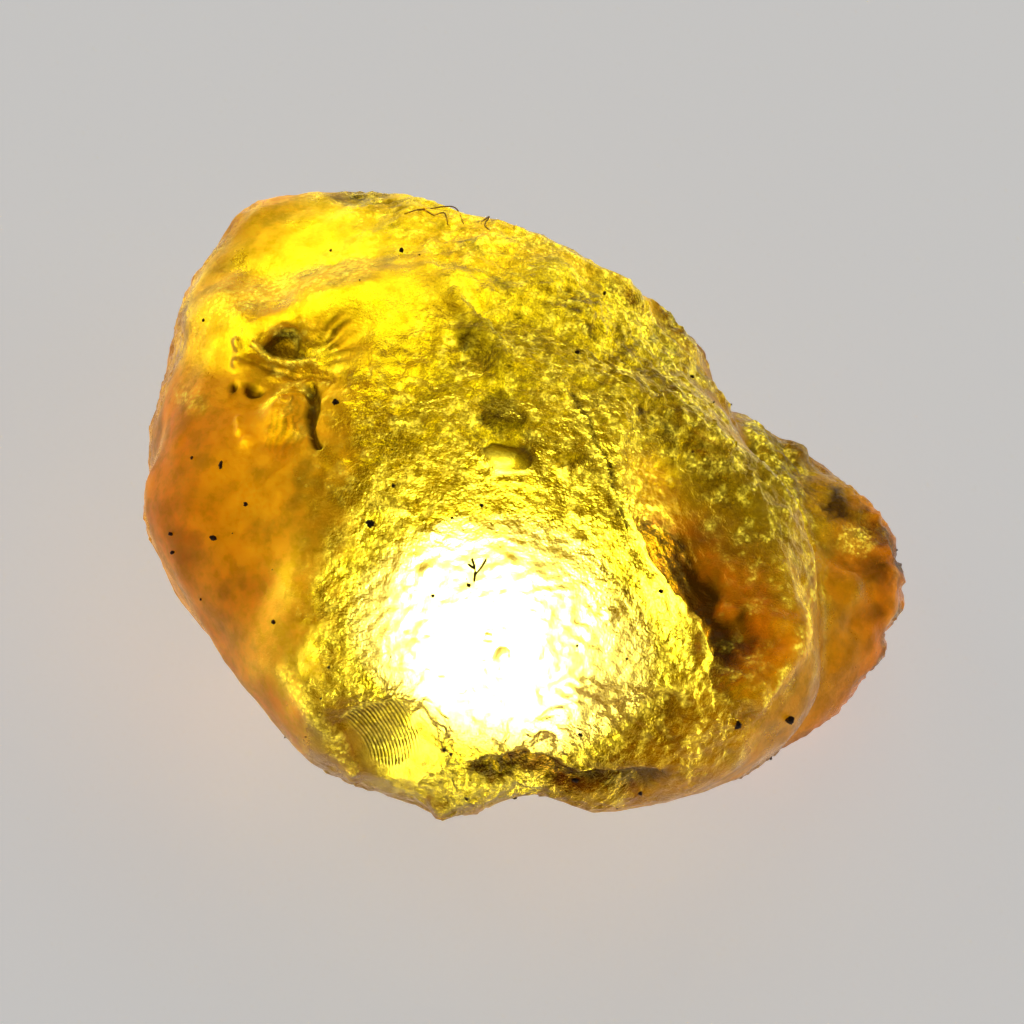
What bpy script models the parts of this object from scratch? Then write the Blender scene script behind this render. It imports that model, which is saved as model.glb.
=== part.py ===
"""Raw amber nugget: one fossil-resin solid, built at real size and resting on a natural flat.

Run it with: blender --background --python part.py

The nugget is worked out in millimetres in the frame of its broad face, which leans back:
p runs to the right along the stone, q up the broad face and w straight out of it.
A thick body and a low knob at its right end are each shaped from a sphere and broken by shallow
scars, then joined and cut flat underneath. The finished stone stands on z = 0 in metres.
"""

import math

import bmesh
import bpy
import numpy as np
from mathutils import Vector, noise

MM = 0.001

# --- Driving dimensions, in millimetres and degrees ---------------------------------------------

FACE_LEAN = 55.0  # how far the broad face's normal is raised above the horizon

# Distance from the middle to the rim of the broad face, every 15 degrees from p towards q.
BODY_RIM = (
    14.4, 12.9, 12.0, 12.0, 12.2, 12.8, 13.6, 14.8, 16.7, 18.7, 19.7, 18.8,
    18.6, 17.7, 16.0, 15.1, 14.8, 14.1, 13.9, 12.9, 13.9, 14.9, 15.7, 16.0,
)
BODY_HALF_THICKNESS = 11.0  # from the rim's plane to the front or back of the body
BODY_SLANT = -0.35  # the body lies flatter than its face leans: w gained for each mm of q
BODY_CENTRE_HEIGHT = 9.9  # above the lowest point, before the underside is cut flat

KNOB_RIM = (
    5.0, 5.6, 6.2, 6.2, 6.0, 6.1, 6.6, 7.6, 9.4, 9.6, 9.2, 8.6,
    8.4, 8.4, 8.4, 8.6, 8.8, 8.6, 7.9, 6.8, 6.1, 5.6, 5.3, 5.4,
)
KNOB_HALF_THICKNESS = 5.4
KNOB_SLANT = -0.39
KNOB_CENTRE = (13.0, -0.2, -5.9)  # p, q, w: low and behind the body's right edge

FULLNESS = 0.86  # 1 is an ellipsoid, less is squarer in the shoulders
UNDERSIDE_CUT = 0.8  # how much is cut off flat where the stone rests

BODY_LUMPS = ((6.0, 0.45), (2.6, 0.22), (1.2, 0.10))  # (size, height) of the rolling surface
KNOB_LUMPS = ((4.0, 0.35), (1.8, 0.20), (1.0, 0.10))

# Conchoidal scars and pits on the broad face: p, q, half length, half width, turn of the length
# from p, depth. Each is a shallow bowl with a sharp rim, sunk square to the surface it sits on.
BODY_SCARS = (
    (8.6, 1.6, 7.6, 4.1, -62.0, 1.8),  # the long hollow behind the crest
    (9.2, -1.9, 3.4, 2.4, -55.0, 0.9),  # its deeper lower end
    (6.0, -9.2, 4.0, 2.8, 20.0, 0.9),  # below the crest
    (-12.1, 5.2, 3.0, 2.0, -6.0, 1.3),  # the broken cavity at the left shoulder
    (-13.8, 3.2, 1.3, 1.1, 0.0, 0.8),  # its small side hole
    (-9.9, 7.2, 1.9, 1.4, 30.0, 0.7),  # its fan-shaped upper end
    (-1.6, 3.7, 1.5, 1.3, 0.0, 0.6),  # the clear window
    (-1.9, 6.2, 1.6, 1.2, 20.0, 0.4),  # the flake above it
    (-3.4, -11.3, 3.8, 2.7, -8.0, 1.2),  # the rippled shell fracture
    (3.4, -12.2, 2.6, 1.5, 4.0, 1.1),  # the undercut ledge
    (8.6, -10.6, 1.8, 1.4, 30.0, 0.5),
    (-13.4, -4.4, 5.4, 3.6, 100.0, 0.5),  # the smooth worn left flank
    (-3.0, 9.6, 3.4, 1.8, 12.0, 0.45),  # under the top edge
)
# The same round the sides and back: azimuth and elevation of the place as seen from the body's
# middle, then as above. Azimuth 0 looks at the front, 90 at the right end, 180 at the back.
SIDE_SCARS = (
    (142.0, 30.0, 7.6, 5.2, 25.0, 1.3),
    (190.0, 12.0, 7.8, 5.2, -12.0, 1.5),
    (234.0, 28.0, 6.6, 4.8, 40.0, 1.1),
    (208.0, -26.0, 6.2, 4.6, 10.0, 1.2),
    (168.0, 66.0, 5.2, 3.6, 8.0, 0.6),
    (268.0, -2.0, 6.2, 4.6, 70.0, 0.8),
    (318.0, -24.0, 6.6, 4.4, 15.0, 1.0),
    (10.0, -30.0, 7.0, 4.6, -5.0, 0.9),
)
KNOB_SCARS = (
    (2.5, 2.8, 1.4, 1.0, 30.0, 0.7),
    (3.4, -0.4, 1.1, 0.9, 60.0, 0.5),
    (1.6, -4.2, 2.6, 1.9, 40.0, 0.5),
)
KNOB_SIDE_SCARS = (
    (95.0, -5.0, 3.0, 2.0, 20.0, 0.4),
    (150.0, 15.0, 3.6, 2.4, -10.0, 0.7),
)

# Rounded nubs that stand up from the broad face: p, q, half width, height.
BODY_NUBS = (
    (-12.2, 3.2, 1.3, 0.45),  # the lip below the cavity
    (-5.2, 4.3, 1.2, 0.3),
    (1.2, -10.4, 1.0, 0.4),
    (-0.8, 8.6, 1.1, 0.3),
    (12.2, -4.2, 1.2, 0.4),
)
KNOB_NUBS = ((2.8, 1.2, 1.2, 0.5),)

SCAR_WANDER = 3.4  # size of the noise that makes the scars' rims irregular
FACE_WANDER = 0.5  # and its reach, on the broad face
SIDE_WANDER = 1.5  # and round the sides
SCAR_LEAN = 0.45  # how much deeper a scar is at its near end than at its far end

FINE_SPHERE = 7  # icosphere subdivisions, so that the shaping starts fine
TRIANGLES = 8800  # what the solid is thinned to before its underside is cut
SHARP_EDGE = 35.0  # edges that turn further than this are shaded sharp

AMBER_COLOUR = (0.86, 0.42, 0.03, 1.0)
AMBER_ROUGHNESS = 0.35
AMBER_IOR = 1.54


# --- Shaping, in the face frame and in millimetres ----------------------------------------------


def face_axes():
    """The directions of p, q and w in the stone's own frame, one to a row."""
    lean = math.radians(FACE_LEAN)
    right = (1.0, 0.0, 0.0)
    up = (0.0, math.sin(lean), math.cos(lean))
    out = (0.0, -math.cos(lean), math.sin(lean))
    return np.array([right, up, out])


def clear_scene():
    for obj in list(bpy.data.objects):
        bpy.data.objects.remove(obj, do_unlink=True)


def sphere_directions(subdivisions):
    """A sphere's points as unit vectors, and its triangles."""
    bm = bmesh.new()
    bmesh.ops.create_icosphere(bm, subdivisions=subdivisions, radius=1.0)
    points = np.array([vertex.co for vertex in bm.verts])
    faces = [[vertex.index for vertex in face.verts] for face in bm.faces]
    bm.free()
    return points / np.linalg.norm(points, axis=1, keepdims=True), faces


def rim_radius(rim, angle):
    """A smooth closed curve through evenly spaced radii (Catmull-Rom), read at any angle."""
    radii = np.array(rim)
    count = len(radii)
    place = np.mod(angle / (2 * math.pi), 1.0) * count
    step = np.floor(place).astype(int)
    t = place - step
    before, here, after, beyond = (radii[(step + k) % count] for k in (-1, 0, 1, 2))
    return 0.5 * (
        2 * here
        + (after - before) * t
        + (2 * before - 5 * here + 4 * after - beyond) * t**2
        + (3 * here - before - 3 * after + beyond) * t**3
    )


def lump_points(directions, rim, half_thickness, slant):
    """A full, slanting ellipsoid: rim radius * across**f over the face, half thickness * out**f
    square to it, plus slant * q, where f is the fullness.
    """
    across = np.hypot(directions[:, 0], directions[:, 1])
    angle = np.arctan2(directions[:, 1], directions[:, 0])
    reach = rim_radius(rim, angle) * across**FULLNESS
    p = reach * np.cos(angle)
    q = reach * np.sin(angle)
    out = directions[:, 2]
    w = half_thickness * np.sign(out) * np.abs(out) ** FULLNESS + slant * q
    return np.column_stack([p, q, w])


def surface_normals(points, half_thickness, slant):
    """Outward normals of the ellipsoid that comes nearest to the lump."""
    across = np.hypot(points[:, 0], points[:, 1]).max()
    out = (points[:, 2] - slant * points[:, 1]) / half_thickness**2
    normals = np.column_stack(
        [points[:, 0] / across**2, points[:, 1] / across**2 - slant * out, out]
    )
    return normals / np.linalg.norm(normals, axis=1, keepdims=True)


def lumpy(points, normals, lumps, seed):
    """Moves each point along its normal by smooth noise of several sizes."""
    height = np.zeros(len(points))
    shift = Vector((seed, 0.0, 0.0))
    for size, amount in lumps:
        height += amount * np.array(
            [noise.noise(Vector(point) / size + shift) for point in points]
        )
    return points + normals * height[:, None]


def spot_on_face(points, slant, p, q):
    """The index of the broad face's point nearest to p, q."""
    facing = points[:, 2] > slant * points[:, 1]
    away = np.hypot(points[:, 0] - p, points[:, 1] - q)
    return int(np.argmin(np.where(facing, away, np.inf)))


def spot_seen_from(points, azimuth, elevation):
    """The index of the point whose direction from the middle is nearest to that one."""
    turn, rise = math.radians(azimuth), math.radians(elevation)
    level = math.cos(rise)
    sight = face_axes() @ np.array([math.sin(turn) * level, -math.cos(turn) * level, math.sin(rise)])
    return int(np.argmax(points @ sight / np.linalg.norm(points, axis=1)))


def wandering(points):
    """Smooth noise in three directions: measured from points that it shifts, a rim is irregular."""
    shifts = (Vector((31.4, 0, 0)), Vector((0, 47.2, 0)), Vector((0, 0, 59.6)))
    places = [Vector(point) / SCAR_WANDER for point in points]
    return np.array([[noise.noise(place + shift) for shift in shifts] for place in places])


def sunk(points, measured, spot, normal, half_length, half_width, turn, depth):
    """Sinks a bowl of depth * (1 - s * s), where s is 1 at its rim, deeper towards one end."""
    level = np.array([math.cos(math.radians(turn)), math.sin(math.radians(turn)), 0.0])
    length = level - normal * (level @ normal)
    length /= np.linalg.norm(length)
    away = measured - measured[spot]
    along = away @ length / half_length
    across = away @ np.cross(normal, length) / half_width
    near = np.abs(away @ normal) < max(half_length, half_width)
    bowl = np.clip(1 - along**2 - across**2, 0, None) * (1 - SCAR_LEAN * along)
    return points - normal * np.where(near, depth * bowl, 0)[:, None]


def raised(points, spot, normal, half_width, height):
    """Raises a round bump of height * (1 - s * s) squared."""
    s = np.linalg.norm(points - points[spot], axis=1) / half_width
    return points + normal * (height * np.clip(1 - s**2, 0, None) ** 2)[:, None]


def broken(points, normals, slant, scars, side_scars, nubs):
    """The lump with its side scars, then those of its broad face, then its nubs."""
    drift = wandering(points)
    for azimuth, elevation, *bowl in side_scars:
        spot = spot_seen_from(points, azimuth, elevation)
        points = sunk(points, points + SIDE_WANDER * drift, spot, normals[spot], *bowl)
    for p, q, *bowl in scars:
        spot = spot_on_face(points, slant, p, q)
        points = sunk(points, points + FACE_WANDER * drift, spot, normals[spot], *bowl)
    for p, q, *bump in nubs:
        spot = spot_on_face(points, slant, p, q)
        points = raised(points, spot, normals[spot], *bump)
    return points


# --- Placing and joining ------------------------------------------------------------------------


def stand_up(points):
    """From the face frame in mm to the stone's own frame in metres, before it is set on z = 0."""
    placed = points @ face_axes()
    placed[:, 2] += BODY_CENTRE_HEIGHT - UNDERSIDE_CUT
    return placed * MM


def mesh_object(name, points, faces):
    mesh = bpy.data.meshes.new(name)
    mesh.from_pydata(points.tolist(), [], faces)
    mesh.update()
    obj = bpy.data.objects.new(name, mesh)
    bpy.context.scene.collection.objects.link(obj)
    return obj


def body():
    directions, faces = sphere_directions(FINE_SPHERE)
    points = lump_points(directions, BODY_RIM, BODY_HALF_THICKNESS, BODY_SLANT)
    normals = surface_normals(points, BODY_HALF_THICKNESS, BODY_SLANT)
    points = lumpy(points, normals, BODY_LUMPS, seed=3.7)
    points = broken(points, normals, BODY_SLANT, BODY_SCARS, SIDE_SCARS, BODY_NUBS)
    return mesh_object("amber_nugget", stand_up(points), faces)


def knob():
    directions, faces = sphere_directions(FINE_SPHERE - 1)
    points = lump_points(directions, KNOB_RIM, KNOB_HALF_THICKNESS, KNOB_SLANT)
    normals = surface_normals(points, KNOB_HALF_THICKNESS, KNOB_SLANT)
    points = lumpy(points, normals, KNOB_LUMPS, seed=11.2)
    points = broken(points, normals, KNOB_SLANT, KNOB_SCARS, KNOB_SIDE_SCARS, KNOB_NUBS)
    return mesh_object("knob", stand_up(points + np.array(KNOB_CENTRE)), faces)


def apply_modifiers(obj):
    graph = bpy.context.evaluated_depsgraph_get()
    mesh = bpy.data.meshes.new_from_object(obj.evaluated_get(graph), depsgraph=graph)
    obj.modifiers.clear()
    obj.data = mesh


def grown_together(stone, other):
    """Makes one closed solid of the two lumps."""
    union = stone.modifiers.new("grown_together", "BOOLEAN")
    union.operation = "UNION"
    union.object = other
    other.hide_render = True
    other.display_type = "WIRE"
    apply_modifiers(stone)
    bpy.data.objects.remove(other, do_unlink=True)


def thinned(stone):
    faces = len(stone.data.polygons)
    thin = stone.modifiers.new("thinned", "DECIMATE")
    thin.ratio = TRIANGLES / faces
    apply_modifiers(stone)


def cut_underside_flat(stone):
    """Takes off what lies below z = 0 and closes the cut with one flat face."""
    bm = bmesh.new()
    bm.from_mesh(stone.data)
    everything = bm.verts[:] + bm.edges[:] + bm.faces[:]
    cut = bmesh.ops.bisect_plane(
        bm,
        geom=everything,
        dist=1e-7,
        plane_co=(0, 0, 0),
        plane_no=(0, 0, -1),
        clear_outer=True,
    )
    rim = [part for part in cut["geom_cut"] if isinstance(part, bmesh.types.BMEdge)]
    bmesh.ops.triangle_fill(bm, edges=rim, use_beauty=True)
    bmesh.ops.recalc_face_normals(bm, faces=bm.faces[:])
    bm.to_mesh(stone.data)
    bm.free()


def centre_over_origin(stone):
    """Moves the mesh so that the middle of its box is over the origin."""
    points = np.array([vertex.co for vertex in stone.data.vertices])
    middle = (points.min(axis=0) + points.max(axis=0)) / 2
    points[:, :2] -= middle[:2]
    stone.data.vertices.foreach_set("co", points.astype(np.float32).ravel())
    stone.data.update()
    return middle[:2]


def amber_material():
    material = bpy.data.materials.new("amber")
    material.use_nodes = True
    shader = material.node_tree.nodes["Principled BSDF"]
    shader.inputs["Base Color"].default_value = AMBER_COLOUR
    shader.inputs["Roughness"].default_value = AMBER_ROUGHNESS
    shader.inputs["Metallic"].default_value = 0.0
    shader.inputs["IOR"].default_value = AMBER_IOR
    shader.inputs["Transmission Weight"].default_value = 1.0
    return material


def build():
    clear_scene()
    stone = body()
    grown_together(stone, knob())
    thinned(stone)
    cut_underside_flat(stone)
    middle = centre_over_origin(stone)
    stone.data.materials.append(amber_material())
    stone.data.shade_smooth()
    stone.data.set_sharp_from_angle(angle=math.radians(SHARP_EDGE))
    print("middle moved by", middle / MM, "mm;", len(stone.data.polygons), "faces")


build()
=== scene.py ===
# %% [markdown]
# # A raw amber nugget, lit from beneath
#
# Amber is resin that has had millions of years to harden. A raw piece has a thin, cloudy
# weathered skin, and glassy fracture faces wherever the skin has flaked off. This scene dresses a
# plain solid of such a nugget: it gives the solid its grain, pits, ribs and clinging dirt, a
# see-through material, and a lamp underneath, which makes the stone glow from the inside.
#
# The first cell loads the solid.

# %% Load the solid
import itertools
import math

import bmesh
import bpy
import numpy as np
from mathutils import Matrix, Vector
from mathutils.bvhtree import BVHTree


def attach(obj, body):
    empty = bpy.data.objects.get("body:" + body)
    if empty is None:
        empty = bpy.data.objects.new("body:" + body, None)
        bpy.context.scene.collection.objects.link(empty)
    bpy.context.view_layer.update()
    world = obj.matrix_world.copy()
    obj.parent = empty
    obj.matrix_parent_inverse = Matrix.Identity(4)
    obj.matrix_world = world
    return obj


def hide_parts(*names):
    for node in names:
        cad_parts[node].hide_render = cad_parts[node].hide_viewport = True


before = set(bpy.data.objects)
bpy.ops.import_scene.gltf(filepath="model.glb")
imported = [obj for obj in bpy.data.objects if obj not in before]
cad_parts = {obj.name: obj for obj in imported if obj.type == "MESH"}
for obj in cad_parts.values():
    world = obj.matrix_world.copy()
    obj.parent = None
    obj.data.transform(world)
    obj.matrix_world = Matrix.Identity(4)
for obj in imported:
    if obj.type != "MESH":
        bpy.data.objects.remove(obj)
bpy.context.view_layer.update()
MM = 0.001

# %% [markdown]
# ## Two ways to say where something is
#
# The stone stands on z = 0, but nearly all its character is on one broad face that leans back.
# So places on that face are given in the face's own frame: p to the right, q up the face and w
# straight out of it, all in millimetres from the middle of the body. One rotation and one shift
# lead from there to the stone's frame.

# %% The face frame
FACE_LEAN = math.radians(55.0)
FACE_MIDDLE = np.array([-0.13, -0.25, 9.1])

FACE_AXES = np.array([
    (1.0, 0.0, 0.0),
    (0.0, math.sin(FACE_LEAN), math.cos(FACE_LEAN)),
    (0.0, -math.cos(FACE_LEAN), math.sin(FACE_LEAN)),
])


def to_face(points):
    """From the stone's frame in mm to p, q, w: the shifted point's dot product with each axis."""
    return (points - FACE_MIDDLE) @ FACE_AXES.T


def from_face(places):
    """From p, q, w back to the stone's frame in mm: the sum of each axis times its share."""
    return np.asarray(places) @ FACE_AXES + FACE_MIDDLE


print("the middle of the solid is at p, q, w =", to_face(np.array([0.0, 0.0, 9.8])).round(2))

# %% [markdown]
# ## Noise as whole arrays
#
# Broken resin is rough at every size, so its relief is a sum of noises. Blender's own noise
# functions take one point at a time. The stone gets nearly ninety thousand points and some forty
# noises, so it is far quicker to write the noise with numpy, which handles all the points in one
# go. Two kinds are needed: smooth noise for lumps, and cell noise for grains, facets and pits.

# %% Smooth noise and cell noise
DRAWS = np.random.default_rng(1871)
TABLE = 256
ORDER = DRAWS.permutation(TABLE)
SLOPES = DRAWS.normal(size=(TABLE, 3))
SLOPES /= np.linalg.norm(SLOPES, axis=1, keepdims=True)
SPOTS = DRAWS.random((TABLE, 3))
LOTS = DRAWS.random(TABLE)
SEED_STEP = np.array([17.3, 41.9, 73.1])  # how far apart two seeds read the same noise
NOISE_GAIN = 1.6  # brings the smooth noise to about -1 to 1
FAR = 99.0  # further than any distance that is measured


def cell_number(cell):
    """One table index for each cell: x looks up a number, to which y and then z are added."""
    x, y, z = (cell[:, axis] % TABLE for axis in range(3))
    return ORDER[(ORDER[(ORDER[x] + y) % TABLE] + z) % TABLE]


def smooth_noise(points, size, seed=0):
    """Gradient noise, about -1 to 1. Each corner of a cubic grid has a random slope, and the
    eight slopes' heights at a point are mixed by 6t^5 - 15t^4 + 10t^3.
    """
    place = points / size + SEED_STEP * seed
    cell = np.floor(place).astype(int)
    t = place - cell
    blend = t**3 * (t * (6 * t - 15) + 10)
    total = np.zeros(len(points))
    for corner in itertools.product((0, 1), repeat=3):
        slope = SLOPES[cell_number(cell + corner)]
        share = np.where(corner, blend, 1 - blend).prod(axis=1)
        total += share * ((t - corner) * slope).sum(axis=1)
    return total * NOISE_GAIN


def cell_noise(points, size, seed=0):
    """Cell noise: each cell of a grid holds one random spot. Returns the distance to the nearest
    spot and to the second nearest, in cells, that spot's own number from 0 to 1, and the height
    of a random slope through it.
    """
    place = points / size + SEED_STEP * seed
    cell = np.floor(place).astype(int)
    t = place - cell
    nearest = np.full(len(points), FAR)
    second = nearest.copy()
    lot = np.zeros(len(points))
    tilt = np.zeros(len(points))
    for corner in itertools.product((-1, 0, 1), repeat=3):
        number = cell_number(cell + corner)
        away = t - corner - SPOTS[number]
        distance = np.linalg.norm(away, axis=1)
        closer = distance < nearest
        second = np.where(closer, nearest, np.minimum(second, distance))
        nearest = np.where(closer, distance, nearest)
        lot = np.where(closer, LOTS[number], lot)
        tilt = np.where(closer, (away * SLOPES[number]).sum(axis=1), tilt)
    return nearest, second, lot, tilt


def ramp(value, low, high):
    """0 below low, 1 above high, and 3t^2 - 2t^3 between them."""
    t = np.clip((value - low) / (high - low), 0, 1)
    return t * t * (3 - 2 * t)


sample = DRAWS.random((2000, 3)) * 30
print("smooth noise runs to", np.abs(smooth_noise(sample, 2.0)).max().round(2))
print("cell noise: mean distance", cell_noise(sample, 2.0)[0].mean().round(2), "cells")

# %% [markdown]
# ## A finer skin for the solid
#
# The solid has triangles nearly a millimetre long, far too coarse for grains and ribs. Its
# mesh mustn't be changed, so a copy is made and its loose triangles are merged. A voxel remesh
# then lays an even net of small squares over it. A sphere could be shrunk onto the solid
# instead, but it would bunch up in the hollows. The remesh works in millimetres, and a little
# smoothing takes the old triangles away.
#
# Three places are broken more finely than the net can show: the broad face as a whole, and on it
# the shell-shaped fracture at the lower edge and the cavity at the left shoulder. Only there are
# the squares divided again, as dividing all of them would only make the mesh heavy.

# %% Copy, remesh and smooth
NODE = "amber_nugget"
NET_SIZE = 0.31
SMOOTHINGS = 8
MERGE_DISTANCE = 1e-6
TURNED_OUT = 0.15  # a square is divided if it faces the broad face's way at least this much

BROKEN_FACE = (1.5, -1.0, 12.5, 13.0)  # middle p, q and half sizes of each finer patch
SHELL = (-3.9, -10.8, 2.3, 1.9)
CAVITY = (-12.0, 4.2, 3.4, 4.0)


def new_object(name, data):
    """An object that shows this mesh, light or camera, put into the scene."""
    thing = bpy.data.objects.new(name, data)
    bpy.context.scene.collection.objects.link(thing)
    return thing


def with_modifiers_applied(stone):
    """Reads the mesh as the modifiers leave it, and keeps that one."""
    graph = bpy.context.evaluated_depsgraph_get()
    mesh = bpy.data.meshes.new_from_object(stone.evaluated_get(graph), depsgraph=graph)
    stone.modifiers.clear()
    stone.data = mesh


def read(elements, what):
    """A vector of every vertex or face, such as co, center or normal, as one array of rows."""
    flat = np.empty(len(elements) * 3, np.float32)
    elements.foreach_get(what, flat)
    return flat.reshape(-1, 3).astype(float)


def net_over(node, name):
    """A copy of the node in mm, merged and remeshed into even squares."""
    mesh = bpy.data.meshes.new(name)
    bm = bmesh.new()
    bm.from_mesh(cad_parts[node].data)
    bmesh.ops.remove_doubles(bm, verts=bm.verts[:], dist=MERGE_DISTANCE)
    bm.transform(Matrix.Scale(1 / MM, 4))
    bm.to_mesh(mesh)
    bm.free()
    stone = new_object(name, mesh)
    net = stone.modifiers.new("net", "REMESH")
    net.mode = "VOXEL"
    net.voxel_size = NET_SIZE
    with_modifiers_applied(stone)
    return stone


def smoothed(stone, rounds):
    """Pulls each point halfway to the middle of its neighbours, once in every round."""
    smoothing = stone.modifiers.new("smoothing", "SMOOTH")
    smoothing.factor = 0.5
    smoothing.iterations = rounds
    with_modifiers_applied(stone)


def divided(stone, patch, cuts):
    """Divides the squares inside an oval patch of the broad face, so many cuts to an edge."""
    middle_p, middle_q, half_p, half_q = patch
    bm = bmesh.new()
    bm.from_mesh(stone.data)
    bm.faces.ensure_lookup_table()
    centre_p, centre_q, _ = to_face(read(stone.data.polygons, "center")).T
    inside = ((centre_p - middle_p) / half_p) ** 2 + ((centre_q - middle_q) / half_q) ** 2 < 1
    outward = read(stone.data.polygons, "normal") @ FACE_AXES[2] > TURNED_OUT
    wanted = [bm.faces[index] for index in np.flatnonzero(inside & outward)]
    edges = list({edge for face in wanted for edge in face.edges})
    bmesh.ops.subdivide_edges(bm, edges=edges, cuts=cuts, use_grid_fill=True)
    bm.to_mesh(stone.data)
    bm.free()


amber = net_over(NODE, "raw_amber")
smoothed(amber, SMOOTHINGS)
print("net:", len(amber.data.polygons), "squares of", NET_SIZE, "mm")
divided(amber, BROKEN_FACE, 1)
smoothed(amber, SMOOTHINGS)
divided(amber, SHELL, 2)
divided(amber, CAVITY, 1)
triangles = sum(len(face.vertices) - 2 for face in amber.data.polygons)
print("with its finer patches:", triangles, "triangles")

points = read(amber.data.vertices, "co")
normals = read(amber.data.vertex_normals, "vector")
p, q, w = to_face(points).T
facing = normals @ FACE_AXES[2]
front = ramp(facing, 0.0, 0.35)
print("points on the broad face:", int((front > 0.5).sum()), "of", len(points))

# %% [markdown]
# ## Marks on the broad face
#
# Each mark is a simple height function of p and q: an oval bowl or bump, or a ridge or groove
# along a broken line. To keep their outlines natural, p and q are first shifted by a little
# noise, so that every oval becomes an irregular flake. The functions return 1 in the middle
# or on the line and fall to 0, and the cells below multiply them by a height.

# %% Shapes for the marks
WANDER = 0.28
WANDER_SIZE = 1.3


def noise(size, seed):
    """Smooth noise of a size in mm at every point of the stone."""
    return smooth_noise(points, size, seed)


def facets(size, seed):
    """Flat chips of a size in mm at every point of the stone: the cell noise's slopes."""
    return cell_noise(points, size, seed)[3]


drift_p = p + WANDER * noise(WANDER_SIZE, 1)
drift_q = q + WANDER * noise(WANDER_SIZE, 2)


def oval(middle, half_length, half_width=None, turn=0.0):
    """How far out a point is in an oval: 0 in the middle, 1 on its rim. The square root of
    (along / half length)^2 + (across / half width)^2, with along turned from p by turn degrees.
    Without a half width the oval is a circle.
    """
    cos, sin = math.cos(math.radians(turn)), math.sin(math.radians(turn))
    away_p, away_q = drift_p - middle[0], drift_q - middle[1]
    along = (away_p * cos + away_q * sin) / half_length
    across = (away_q * cos - away_p * sin) / (half_width or half_length)
    return np.hypot(along, across)


def bowl(middle, *sizes):
    """1 in the middle of the oval, 0 at its crisp rim: 1 - s^2."""
    return np.clip(1 - oval(middle, *sizes) ** 2, 0, 1)


def dome(middle, *sizes):
    """Like a bowl with a soft rim: (1 - s^2)^2."""
    return bowl(middle, *sizes) ** 2


def spots(table, shape=dome):
    """Adds up a table of ovals, each shape times its strength. A row is strength, p, q, half
    length, and where they matter half width and turn.
    """
    return sum(row[0] * shape(row[1:3], *row[3:]) for row in table)


def beside(path):
    """Distance in mm to a broken line, with its sign: positive on the left of its direction.
    Each segment's nearest point is start + t * span, with t held between 0 and 1.
    """
    nearest = np.full(len(points), FAR)
    for (start_p, start_q), (end_p, end_q) in zip(path, path[1:]):
        span_p, span_q = end_p - start_p, end_q - start_q
        away_p, away_q = drift_p - start_p, drift_q - start_q
        t = np.clip((away_p * span_p + away_q * span_q) / (span_p**2 + span_q**2), 0, 1)
        distance = np.hypot(away_p - t * span_p, away_q - t * span_q)
        side = np.where(span_p * away_q - span_q * away_p < 0, -1, 1)
        nearest = np.where(distance < np.abs(nearest), distance * side, nearest)
    return nearest


def ridge(path, half_width):
    """1 on the line, falling to 0 on both sides as (1 - s^2)^2."""
    return np.clip(1 - (beside(path) / half_width) ** 2, 0, 1) ** 2


def lines(table):
    """Adds up a table of ridges. A row is strength, path and half width."""
    return sum(strength * ridge(path, half_width) for strength, path, half_width in table)


def ledge(path, reach, edge=0.12):
    """A step: 1 at the line on its left side, falling to 0 over reach, and 0 on its right."""
    side = beside(path)
    return ramp(side, -edge, edge) * (1 - ramp(np.abs(side), 0.3 * reach, reach))


# %% [markdown]
# ## How the stone is broken
#
# Before any height is added, masks say which kind of surface is where. The left flank is worn
# smooth. The middle and the lower right are freshly broken and sugary. The rest keeps its
# grainy skin, and round the sides and back skin and fresh flakes alternate by a slow noise.

# %% Masks for the kinds of surface
patchy = noise(7.0, 3) + 0.5 * noise(3.0, 4)
mingled = noise(1.1, 24)
flank_reach = ramp(-p + 0.10 * (4 - q) + patchy + 1.5 * mingled, 8.0, 12.5)
flank = front * flank_reach * ramp(-q, -5.5, -1.5)
hollow = front * bowl((8.8, -0.2), 5.2, 2.7, -58)
sugar_front = 1 - ramp(np.hypot(p - 1.0, (q + 1.5) / 1.1) + 1.5 * patchy, 9.0, 14.0)
sugar = front * sugar_front + (1 - front) * ramp(patchy, -0.15, 0.35)
sugar *= 1 - flank
upper = front * ramp(q + 0.35 * p + 1.2 * patchy, 6.0, 9.5)
print("share that is sugary:", sugar.mean().round(2), "smooth:", flank.mean().round(3))

# %% [markdown]
# ## The all-over grain
#
# Smooth noise at three sizes gives the rolling and the fine grain of the skin. Cell noise gives
# the rest: its random slopes are small flat chips, each meeting the next in a sharp edge, its
# distances are round grains of sugar, and a few of its cells are pits.

# %% Grain, chips, sugar and pits
fine_face = front * (1 - ramp(np.hypot(p + 1.0, q + 2.5) + 1.5 * patchy, 7.0, 12.5))
lively = (1 - 0.5 * fine_face) * (1 - 0.65 * flank) * (1 - 0.6 * hollow)
height = 0.10 * (1 - 0.5 * fine_face) * noise(2.4, 5)
height += 0.06 * lively * noise(1.2, 6)
height += 0.03 * lively * noise(0.65, 7)

height += 0.10 * sugar * lively * (1 - 0.6 * fine_face) * facets(2.3, 8)
height += (0.07 * sugar + 0.12 * upper) * lively * (1 - 0.5 * fine_face) * facets(1.0, 9)

grain, _, grain_lot, grain_tilt = cell_noise(points, 0.46, 10)
round_grain = (1 - ramp(grain, 0.1, 0.75)) * (grain_lot > 0.6)
height += 0.15 * np.maximum(sugar, 0.8 * upper) * lively * grain_tilt
height += (0.03 + 0.05 * sugar) * (1 - flank) * lively * round_grain

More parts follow.
